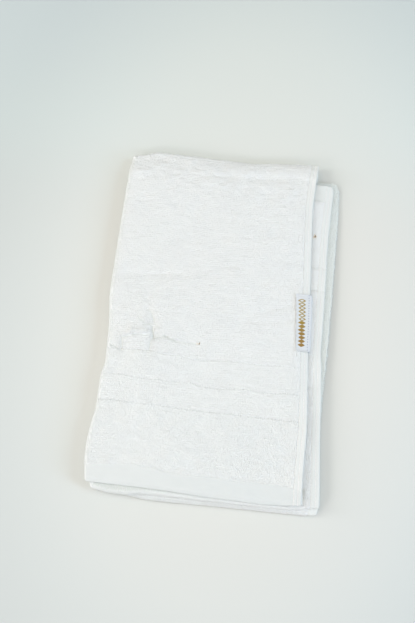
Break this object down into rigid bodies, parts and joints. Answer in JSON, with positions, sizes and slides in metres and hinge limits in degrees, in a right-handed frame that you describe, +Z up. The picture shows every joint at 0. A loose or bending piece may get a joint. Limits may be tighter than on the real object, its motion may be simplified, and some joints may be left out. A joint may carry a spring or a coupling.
{
  "type": "folded hand towel",
  "caption": "Plain white terry hand towel, folded in half and then in thirds, with flat hems and a small side label.",
  "frame": {"origin": "middle of the underside of the box around the folded towel", "axes": "+Z up out of the surface it lies on, +Y along its length towards the top fold, +X across it towards the selvedges"},
  "size_m": [0.2264, 0.3538, 0.0172],
  "materials": {
    "terry": "white cotton terry with looped pile, flat woven hems",
    "label": "smooth woven satin tape"
  },
  "bodies": {
    "root": {"towel_cloth": "terry", "side_label": "label"}
  },
  "joints": []
}
